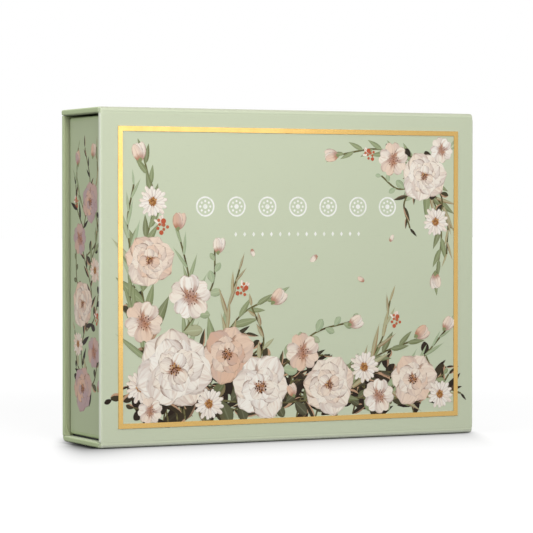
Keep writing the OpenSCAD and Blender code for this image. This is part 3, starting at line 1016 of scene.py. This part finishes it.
def finishPrint(piece, place, body, outline):
    halfWide, halfTall = outline

    def trim(sheet):  # what runs past the sheet's outline is cut off
        sides = (((1, 0, 0), halfWide), ((-1, 0, 0), halfWide), ((0, 1, 0), halfTall), ((0, -1, 0), halfTall))
        for normal, reach in sides:
            bmesh.ops.bisect_plane(sheet, geom=sheet.verts[:] + sheet.edges[:] + sheet.faces[:], dist=1e-9,
                plane_co=Vector(normal) * reach, plane_no=normal, clear_outer=True)
    rework(piece.data, trim)
    piece.data.transform(place)
    piece.visible_shadow = False  # ink has no thickness to throw a shadow
    settle(piece, body)


def printSprays(name, sprays, place, body, outline):
    lines = [drawPath(spray.path) for spray in sprays]
    step = printLook["leafStep"]
    thick = printLook["leafLayers"] * step

    def touches(a, b):
        reach = (a.leaf + b.leaf) * printLook["leafSpread"]
        return any((p - q).length < reach for p in drawPath(a.path, 6) for q in drawPath(b.path, 6))
    heights = stackHeights(sprays, touches, lambda spray: thick, lambda spray: printLook["lowest"])
    kinds = sorted(set(spray.kind for spray in sprays))
    for number, kind in enumerate(kinds + ["stem"]):
        points, edges, values = [], [], {"pathShare": [], "leafSize": [], "leafLean": [], "headTone": []}
        for spray, line, height in zip(sprays, lines, heights):
            if kind not in ("stem", spray.kind):
                continue
            first, count = len(points), len(line)
            lift = height + (0 if kind == "stem" else step)
            points += [(p.x * mm, p.y * mm, lift) for p in line]
            edges += [(first + k, first + k + 1) for k in range(count - 1)]
            values["pathShare"] += [k / (count - 1) for k in range(count)]
            values["leafSize"] += [spray.leaf * mm] * count
            values["leafLean"] += [math.radians(spray.lean)] * count
            values["headTone"] += [spray.tone] * count
        paths = meshObject("paths", points, [], values, edges)
        label = name + kind[0].upper() + kind[1:]
        if kind == "stem":
            piece = runTree(label + "s", paths, stemRibbon, {"Width": printLook["stem"], "Ink": stemInk})
        else:
            piece = runTree(label + "Leaves", paths, leafSpray, {"Leaf": leafShapes[kind], "Layer Step": step,
                "Spacing": printLook["gaps"][kind] * mm, "Jitter": printLook["jitter"],
                "Seed": printLook["leafSeed"] + number, "Ink": leafInk})
        bpy.data.objects.remove(paths)
        finishPrint(piece, place, body, outline)
    return [(line, spray.leaf, height + thick) for line, spray, height in zip(lines, sprays, heights)]


def printHeads(name, heads, place, body, outline, cover):
    def touches(a, b):
        return math.hypot(a.x - b.x, a.y - b.y) < (a.radius + b.radius) * printLook["headSpread"]

    def thickness(head):
        return (headTall(headKinds[head.kind]) + printLook["seedRise"]) * head.radius * mm + printLook["headClear"]

    def overLeaves(head):
        def meets(line, leaf):
            return any(math.hypot(q.x - head.x, q.y - head.y) < head.radius + leaf for q in line)
        return max([top for line, leaf, top in cover if meets(line, leaf)] + [printLook["lowest"]])
    heights = stackHeights(heads, touches, thickness, overLeaves)
    marks = meshObject("marks", [(h.x * mm, h.y * mm, z) for h, z in zip(heads, heights)], [], {
        "headKind": [h.kind for h in heads], "headTurn": [math.radians(h.turn) for h in heads],
        "headSize": [h.radius * mm for h in heads], "headTone": [h.tone for h in heads]})
    for label, collection, material in (("Petals", petalHeads, petalInk), ("Seeds", seedHeads, seedInk)):
        piece = runTree(name + label, marks, placeHeads, {"Heads": collection, "Ink": material})
        finishPrint(piece, place, body, outline)
    bpy.data.objects.remove(marks)
    return max(z + thickness(h) for h, z in zip(heads, heights))


def facing(origin, right, outward):
    # turns a drawing (x right, y up, z out) onto a face of the box
    turn = Matrix((right, (0, 0, 1), outward)).transposed().to_4x4()
    return Matrix.Translation(origin) @ turn


# drawings are in millimetres and degrees from the middle of their face
Spray = namedtuple("Spray", "kind leaf lean tone path")
Head = namedtuple("Head", "kind x y radius turn tone")


def sprayOf(kind, leaf, lean, tone, *path):
    return Spray(kind, leaf, lean, tone, [(x, y, 0) for x, y in path])


# lid: a corner spray at the lower left that trails along the bottom, and a small answer at the upper right
undergrowthLook = {"sprays": 72, "left": -52, "right": 52, "low": -44, "rise": 9, "turn": 1.4, "reach": (8, 15),
    "leaf": (6, 9.5), "lean": (34, 52), "tone": (0.0, 0.06), "seed": 11, "rounds": 6,
    "leftLong": 1.3, "lessRight": 0.5, "bendAt": 0.5, "bendTurn": 0.4, "spoonEvery": 3}


def undergrowth():
    # dark leaves that fill the ground between the flowers
    look, draw, made = undergrowthLook, random.Random(undergrowthLook["seed"]), []
    for k in range(look["sprays"]):
        x = look["left"] + (look["right"] - look["left"]) * (k + draw.random()) / look["sprays"]
        y = look["low"] + draw.uniform(0, look["rise"])
        turn = draw.uniform(-look["turn"], look["turn"])
        reach = draw.uniform(*look["reach"]) * (look["leftLong"] - look["lessRight"] * k / look["sprays"])
        knee, early = look["bendAt"] * reach, turn * look["bendTurn"]
        bend = (x + knee * math.sin(early), y + knee * math.cos(early))
        tip = (x + reach * math.sin(turn), y + reach * math.cos(turn))
        leaf, lean, tone = [draw.uniform(*look[label]) for label in ("leaf", "lean", "tone")]
        kind = "lance" if k % look["spoonEvery"] else "spoon"
        made.append(sprayOf(kind, leaf, lean, tone, (x, y), bend, tip))
    # neighbours are drawn in different rounds, so that the layers stay few
    return [spray for first in range(look["rounds"]) for spray in made[first::look["rounds"]]]


lidSprays = undergrowth() + [sprayOf(*row) for row in (
    ("spoon", 6.5, 62, 0.05, (-44, -34), (-48, -38), (-52, -38)),
    ("lance", 9.5, 40, 0.08, (-40, -30), (-28, -20), (-16, -17)),
    ("lance", 9.0, 40, 0.1, (-14, -36), (-2, -26), (10, -24)),
    ("spoon", 6.5, 60, 0.08, (-46, -22), (-51, -12), (-52, 2)),
    ("lance", 8.5, 42, 0.12, (10, -38), (24, -30), (36, -30)),
    ("spoon", 7.0, 62, 0.2, (-30, -36), (-8, -38), (14, -37), (34, -38)),
    ("lance", 12.0, 32, 0.42, (-46, -20), (-50, 2), (-46, 20), (-49, 36)),
    ("blade", 14.0, 24, 0.62, (-36, -24), (-34, -4), (-38, 14)),
    ("lance", 11.0, 34, 0.5, (-28, -26), (-18, -12), (-6, -6)),
    ("spoon", 6.0, 58, 0.7, (-36, -16), (-27, -3), (-26, 8)),
    ("blade", 13.0, 22, 0.45, (-48, -24), (-53, -8), (-53, 10)),
    ("blade", 12.0, 22, 0.72, (-50, -4), (-54, 14), (-52, 27)),
    ("spoon", 5.8, 58, 0.66, (-6, -30), (6, -18), (20, -14)),
    ("lance", 10.5, 34, 0.4, (12, -36), (28, -25), (42, -20)),
    ("blade", 12.0, 24, 0.6, (28, -38), (42, -28), (53, -17)),
    ("spoon", 5.6, 60, 0.55, (24, -38), (40, -37), (52, -31)),
    ("lance", 8.0, 36, 0.9, (-16, -34), (-10, -20), (-14, -9)),
    ("blade", 12.0, 20, 0.93, (-20, -30), (-22, -12), (-18, 2)),
    ("blade", 11.0, 24, 0.92, (34, -36), (46, -36), (53, -37)),
    ("blade", 12.0, 18, 0.9, (20, -34), (30, -20), (33, -8)),
    ("lance", 9.5, 36, 0.45, (45, 30), (51, 14), (49, -2)),
    ("blade", 11.0, 22, 0.66, (46, 32), (51, 36), (54, 39)),
    ("lance", 9.0, 36, 0.52, (42, 32), (30, 38), (14, 36)),
    ("spoon", 5.2, 60, 0.7, (44, 28), (36, 26), (30, 30)),
    ("blade", 10.0, 22, 0.9, (47, 26), (53, 18), (53, 6)),
    ("spoon", 5.0, 60, 0.06, (47, 33), (40, 36), (33, 38)),
    ("spoon", 5.0, 60, 0.06, (46, 30), (51, 24), (51, 18)),
    ("lance", 7.0, 38, 0.08, (44, 29), (38, 22), (40, 14)))]
lidHeads = [Head(*row) for row in (
    (berries, -43, 15, 3.4, 20, 0.3), (berries, -17, -4, 3.2, -30, 0.3), (berries, 35, -14, 3.0, 10, 0.3),
    (berries, 26, 36.5, 2.8, 60, 0.3), (daisy, -50, -32, 5.0, 20, 0.2), (plum, -49, -13, 6.4, 40, 0.45),
    (daisy, -28, -37.5, 5.0, 10, 0.1), (peony, -22, -23, 8.6, 12, 0.66), (rosette, -39, -27, 12.0, 0, 0.16),
    (plum, -34, -6, 7.0, 75, 0.12), (rosette, -47, 5, 7.8, 30, 0.5), (peony, -11, -33, 9.6, 50, 0.1),
    (daisy, -46, 22, 4.8, 0, 0.05), (plum, 3, -23, 6.0, 15, 0.5), (rosette, 12, -33, 8.8, 80, 0.34),
    (daisy, 24, -28, 5.0, 33, 0.12), (plum, 29, -37, 5.6, 60, 0.2), (peony, 41, -32, 8.0, 0, 0.45),
    (daisy, 50.5, -37, 4.6, 14, 0.1), (plum, -47, -39, 4.2, 10, 0.3), (bud, -50, 34, 5.5, 10, 0.4),
    (bud, -38, 14, 5.2, -8, 0.7), (bud, -7, -8, 5.6, -48, 0.45), (bud, 19, -15, 5.0, -70, 0.3),
    (bud, 42, -19, 5.2, -62, 0.62), (bud, 52, -17, 4.8, -40, 0.35), (bud, -25, 7, 4.8, -6, 0.2),
    (bud, 0, -36, 4.0, 20, 0.6), (daisy, 49, 16, 4.6, 9, 0.1), (rosette, 45, 30, 7.8, 22, 0.25),
    (plum, 34, 35, 5.4, 5, 0.4), (bud, 15, 36, 4.8, 92, 0.5), (bud, 49, 0, 4.8, 184, 0.3),
    (plum, 51, 38, 4.2, 30, 0.1), (loosePetal, 8, 6, 3.0, 130, 0.3), (loosePetal, 24, -2, 2.6, 60, 0.5),
    (loosePetal, -14, 8, 2.4, 200, 0.2),
    (loosePetal, 33, 10, 2.4, -30, 0.25))]
lidFace = facing((0, frontY, topZ / 2), (1, 0, 0), (0, -1, 0))
lidPrintInset = {"sides": 0.45 * mm, "folds": 0.1 * mm}


def printLid():
    outline = (halfWidth - lidPrintInset["sides"], topZ / 2 - creaseRadius - lidPrintInset["folds"])
    cover = printSprays("lid", lidSprays, lidFace, "lid", outline)
    top = printHeads("lid", lidHeads, lidFace, "lid", outline, cover)
    print("lid print is", round(top * 1e6), "micrometres thick")


printLid()


# flat signs, drawn in millimetres

def circle(radius, parts, centre=(0, 0)):
    turns = [fullTurn * k / parts for k in range(parts)]
    return [(centre[0] + radius * math.cos(a), centre[1] + radius * math.sin(a), 0) for a in turns]


def wheelDrawing(look):
    # rings (radius, line, parts), a circle of dots (count, radius, distance, parts) and a dot in the middle
    points, faces = [], []
    for radius, line, parts in look["rings"]:
        faces += ringQuads(len(points), len(points) + parts, parts)
        points += circle(radius, parts) + circle(radius - line, parts)
    count, radius, reach, parts = look["dots"]
    dots = [circle(radius, parts, spot[:2]) for spot in circle(reach, count)] + [circle(*look["middle"])]
    for dot in dots:
        faces.append(tuple(range(len(points), len(points) + len(dot))))
        points += dot
    return points, faces


def sign(name, points, faces):
    return meshObject(name, [(x * mm, y * mm, z) for x, y, z in points], faces, home=workCollection)


def printRow(name, shape, count, pitch, height, material, place, body):
    piece = runTree(name, carrier, signRow, {"Sign": shape, "Count": count, "Pitch": pitch * mm, "Height": height,
        "Ink": material})
    piece.data.transform(place)
    settle(piece, body)
    return piece


# a plain ornament of circles and lozenges above the flowers
ornament = {"right": 1.5, "height": 5e-6, "high": 20.6, "circles": 7, "pitch": 10.2, "low": 12.4, "lozenges": 15,
    "lozengePitch": 2.95, "lozenge": (0.465, 0.75),
    "wheel": {"rings": ((3.0, 0.5, 40),), "dots": (8, 0.36, 1.62, 10), "middle": (0.72, 20)}}


def printOrnament():
    o = ornament
    wide, tall = o["lozenge"]
    lozenge = [(-wide, 0, 0), (0, -tall, 0), (wide, 0, 0), (0, tall, 0)], [(0, 1, 2, 3)]
    for name, drawing, count, pitch, level in (
            ("lidCircleRow", wheelDrawing(o["wheel"]), o["circles"], o["pitch"], o["high"]),
            ("lidLozengeRow", lozenge, o["lozenges"], o["lozengePitch"], o["low"])):
        place = lidFace @ Matrix.Translation((o["right"] * mm, level * mm, 0))
        row = printRow(name, sign(name + "Sign", *drawing), count, pitch, o["height"], whiteInk,
            place, "lid")
        row.visible_shadow = False


printOrnament()

# tray ends: a slender climbing vine with small flowers
endSprays = [sprayOf(*row) for row in (
    ("spoon", 5.0, 58, 0.0, (1, -38), (-5, -33), (-8, -27)),
    ("spoon", 5.0, 58, 0.04, (0, -16), (6, -12), (9, -5)),
    ("lance", 7.5, 40, 0.02, (2, -38), (-4, -22), (4, -6), (-3, 10), (3, 26), (-1, 38)),
    ("spoon", 4.6, 58, 0.02, (0, 6), (7, 10), (9, 17)),
    ("lance", 7.0, 42, 0.0, (-2, 14), (-7, 20), (-8, 27)),
    ("spoon", 4.4, 60, 0.1, (-2, -34), (6, -30), (9, -20)),
    ("spoon", 4.4, 60, 0.3, (0, -12), (-7, -2), (-8, 8)),
    ("lance", 6.5, 36, 0.42, (2, 2), (8, 12), (7, 22)),
    ("blade", 8.0, 24, 0.55, (-1, 18), (-7, 28), (-6, 38)),
    ("lance", 6.0, 36, 0.92, (0, -30), (-7, -26), (-9, -16)),
    ("blade", 7.0, 24, 0.95, (1, 20), (8, 28), (8, 38)))]
endHeads = [Head(*row) for row in (
    (berries, 8, -12, 2.6, 20, 0.3), (berries, -7.5, 22, 2.4, 50, 0.3), (peony, -3, -33, 6.8, 10, 0.94),
    (plum, 5.5, -22, 4.8, 40, 1.0), (rosette, -3, -8, 7.2, 25, 0.5), (daisy, 6.5, 2, 4.0, 0, 0.5),
    (plum, -5, 11, 5.0, 70, 1.0), (peony, 3, 22, 6.0, 35, 0.96), (bud, -6, 33, 4.4, 14, 0.85),
    (bud, 5, 35, 4.4, -12, 0.6), (daisy, -6.5, -20, 3.8, 20, 0.4), (bud, 8.5, -33, 4.0, -40, 0.9))]
endPrintInset = {"sides": 0.5 * mm, "folds": 1.3 * mm}


def printEnds():
    reach = trayHigh.x + endPaperSize["thickness"]
    middle, size = (trayLow + trayHigh) / 2, trayHigh - trayLow
    outline = (size.y / 2 - endPrintInset["sides"], size.z / 2 - endPrintInset["folds"])
    for name, side in (("leftEnd", -1), ("rightEnd", 1)):
        place = facing((side * reach, middle.y, middle.z), (0, side, 0), (side, 0, 0))
        cover = printSprays(name, endSprays, place, "box", outline)
        printHeads(name, endHeads, place, "box", outline, cover)


printEnds()
print("decoration printed")

# top cards: the nine of bamboo and the nine of dots
cardSigns = {"across": 15.5, "up": 25.5, "height": 0.02 * mm, "border": 2.6 * mm,
    "line": 0.35 * mm, "corner": 2.2 * mm, "cornerSteps": 10, "inRow": 3,
    "wheel": {"rings": ((6.3, 1.1, 48), (2.3, 0.7, 32)), "dots": (10, 0.62, 3.7, 12), "middle": (0.9, 20)}}
stickSize = {"long": 19.0, "steps": 24, "wide": 1.25, "split": 0.32, "knuckle": 0.95, "knuckleLong": 0.9,
    "knuckleSet": 0.8}


def stickDrawing():
    # two canes with a waist and rounded knuckles
    s, half = stickSize, stickSize["long"] / 2
    points, faces = [], []
    for side in (-1, 1):
        first = len(points)
        for k in range(s["steps"] + 1):
            y = -half + s["long"] * k / s["steps"]
            knuckle = sum(math.exp(-((y - at) / s["knuckleLong"]) ** 2)
                for at in (-half + s["knuckleSet"], 0, half - s["knuckleSet"]))
            points += [(side * (s["wide"] + s["knuckle"] * knuckle), y, 0), (side * s["split"], y, 0)]
        faces += [(a, a + 1, a + 3, a + 2) for a in range(first, first + 2 * s["steps"], 2)]
    return points, faces


def borderDrawing(wide, tall):
    # a thin line round the face, with round corners
    c, points = cardSigns, []
    steps, corner = c["cornerSteps"], c["corner"]
    for radius in (corner, corner - c["line"]):
        for quarter, (x, y) in enumerate(((1, 1), (-1, 1), (-1, -1), (1, -1))):
            for step in range(steps):
                turn = quarterTurn * (quarter + step / (steps - 1))
                points.append(((wide - corner) * x + radius * math.cos(turn),
                    (tall - corner) * y + radius * math.sin(turn), c["height"]))
    return points, ringQuads(0, 4 * steps, 4 * steps)


def printCards():
    c = cardSigns
    sticks, dots = sign("stickSign", *stickDrawing()), sign("dotSign", *wheelDrawing(c["wheel"]))
    for stack, node, shape, upperInk in (("left", "bamboo_cards", sticks, greenInk),
            ("right", "dot_cards", dots, blueInk)):
        low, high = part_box(node)
        place = facing(((low.x + high.x) / 2, low.y, (low.z + high.z) / 2), (1, 0, 0), (0, -1, 0))
        for label, level, material in (("Upper", c["up"], upperInk), ("Middle", 0.0, redInk),
                ("Lower", -c["up"], greenInk)):
            printRow(stack + "Card" + label + "Signs", shape, c["inRow"], c["across"], c["height"], material,
                place @ Matrix.Translation((0, level * mm, 0)), "box")
        wide, tall = (high.x - low.x) / 2 - c["border"], (high.z - low.z) / 2 - c["border"]
        border = meshObject(stack + "CardBorder", *borderDrawing(wide, tall))
        border.data.transform(place)
        border.data.materials.append(greenInk)
        settle(border, "box")


printCards()
print("cards printed")

# the workshop's own shapes go
for thing in list(workCollection.all_objects) + [carrier]:
    bpy.data.objects.remove(thing)
for collection in (petalHeads, seedHeads, workCollection):
    bpy.data.collections.remove(collection)

# floor, light and camera
floorLook = {"size": 6.0, "drop": 0.12 * mm, "white": 0.17,
    "nearGlow": 0.84, "farGlow": 1.0, "near": 0.14, "far": 0.5,
    "contact": 10 * mm, "lineGain": 1.45, "lineLoss": 0.1,
    "shadeDepth": 0.51, "shadeReach": 19 * mm, "shadeEnd": 0.025, "shadeSlant": 0.41, "shadeMost": 0.88,
    "shadeBack": 20 * mm, "leftNone": 16 * mm, "leftFull": 4 * mm,
    "rightSoft": 4 * mm, "rightNone": 6 * mm, "cornerDepth": 0.5, "cornerAt": 1.5 * mm, "cornerWide": 9 * mm,
    "endDepth": 0.85, "endReach": 3.4 * mm, "endFull": 0.8 * mm, "endSoft": 16 * mm, "endFront": (-1 * mm, 4 * mm),
    "endUnder": (8 * mm, 2 * mm)}
lights = {"key": {"place": (-0.08, -0.30, 0.25), "power": 0.62, "size": 0.16},
    "fill": {"place": (0.30, -0.92, 0.14), "power": 0.42, "size": 0.31},
    "side": {"place": (-0.42, -0.12, 0.34), "power": 0.48, "size": 0.2}}
skyStrength = 0.71


def seenDirectly(tree):
    # light paths that show the stage itself, straight or mirrored
    rays = outputsOf(addNode(tree, "ShaderNodeLightPath"))
    return held(rays("Is Camera Ray") + rays("Is Glossy Ray") + rays("Is Transmission Ray"))


def buildFloor():
    look, s = floorLook, floorLook["size"]
    floor = meshObject("floor", [(x, y, -look["drop"]) for x, y in rectangle(-s, s, -s, s)], [(0, 1, 2, 3)])
    material, tree, shader = newMaterial("paleFloor")
    tree.nodes.remove(shader)
    place = coords(tree)
    x, y, z = split(place)
    # a painted contact shadow where anything stands,
    # and a painted soft shade that falls forward from the box, deepest at the left corner
    touch = wireOf(tree, "ShaderNodeAmbientOcclusion", {"Distance": look["contact"]}, "AO", samples=16)
    ahead = frontY - y
    aside = ahead * -look["shadeSlant"] - halfWidth - x
    fall = held(math.e ** (ahead / -look["shadeReach"]) * look["shadeDepth"] - look["shadeEnd"])
    fall = fall * fade(ahead, frontY - backY - look["shadeBack"], frontY - backY)
    corner = (aside - look["cornerAt"]) / look["cornerWide"]
    corner = math.e ** (corner * corner * -1.0)
    rightEnd, rightSoft = -2 * halfWidth, look["rightSoft"]
    spread = fade(aside, look["leftNone"], look["leftFull"])
    spread = spread * fade(aside, rightEnd - rightSoft, rightEnd + rightSoft)
    spread = spread * fade(x, halfWidth + look["rightNone"], halfWidth)
    shade = spread * (corner * look["cornerDepth"] + 1.0) * fall
    line = 1.0 - held(touch * look["lineGain"] - look["lineLoss"])
    contact = (1.0 - calc("MINIMUM", shade, look["shadeMost"])) * (1.0 - line * spread)
    # the darkest shade lies close under the end that turns from the light
    beside = fade(-halfWidth - x, look["endReach"], look["endFull"])
    for value, none, full in ((y, backY, backY - look["endSoft"]),
            (y, *[frontY + v for v in look["endFront"]]),
            (x, *[v - halfWidth for v in look["endUnder"]])):
        beside = beside * fade(value, none, full)
    lit = beside * -look["endDepth"] + 1.0
    away = wireOf(tree, "ShaderNodeVectorMath", {0: place}, "Value", operation="LENGTH")
    level = fade(away, look["near"], look["far"], look["nearGlow"], look["farGlow"])
    glow = wireOf(tree, "ShaderNodeEmission", {"Strength": seenDirectly(tree) * (contact * lit) * level})
    matt = wireOf(tree, "ShaderNodeBsdfDiffuse", {"Color": lit * look["white"]})
    both = wireOf(tree, "ShaderNodeAddShader", {0: matt, 1: glow})
    feed(tree.nodes["Material Output"], {"Surface": both})
    floor.data.materials.append(material)


def buildLight():
    world = bpy.data.worlds.new("studio")
    scene.world = world
    world.use_nodes = True
    strength = seenDirectly(world.node_tree) * (1.0 - skyStrength) + skyStrength
    feed(world.node_tree.nodes["Background"], {"Color": (1, 1, 1, 1), "Strength": strength})
    for name, look in lights.items():
        lamp = bpy.data.lights.new(name, "AREA")
        lamp.shape, lamp.size, lamp.energy = "DISK", look["size"], look["power"]
        holder = bpy.data.objects.new(name, lamp)
        scene.collection.objects.link(holder)
        holder.location = look["place"]
        aim = Vector((0, 0, topZ / 2)) - holder.location
        holder.rotation_euler = aim.to_track_quat("-Z", "Y").to_euler()


# camera fitted to the box's corners in the photograph
cameraPlace = {"place": (-0.34880, -0.69820, 0.06750), "yaw": 26.44, "down": 1.15, "focalPixels": 2566.0,
    "imageWidth": 533, "sensor": 36.0, "clip": (0.01, 50.0)}


def buildCamera():
    c = cameraPlace
    data = bpy.data.cameras.new("camera")
    data.sensor_width = c["sensor"]
    data.lens = c["focalPixels"] * c["sensor"] / c["imageWidth"]
    data.clip_start, data.clip_end = c["clip"]
    camera = bpy.data.objects.new("camera", data)
    scene.collection.objects.link(camera)
    camera.location = c["place"]
    yaw, tilt = math.radians(c["yaw"]), math.radians(c["down"])
    look = Vector((math.sin(yaw) * math.cos(tilt), math.cos(yaw) * math.cos(tilt), -math.sin(tilt)))
    camera.rotation_euler = look.to_track_quat("-Z", "Y").to_euler()
    scene.camera = camera


buildFloor()
buildLight()
buildCamera()
scene.view_settings.view_transform = "Standard"
print("stage, light and camera set")
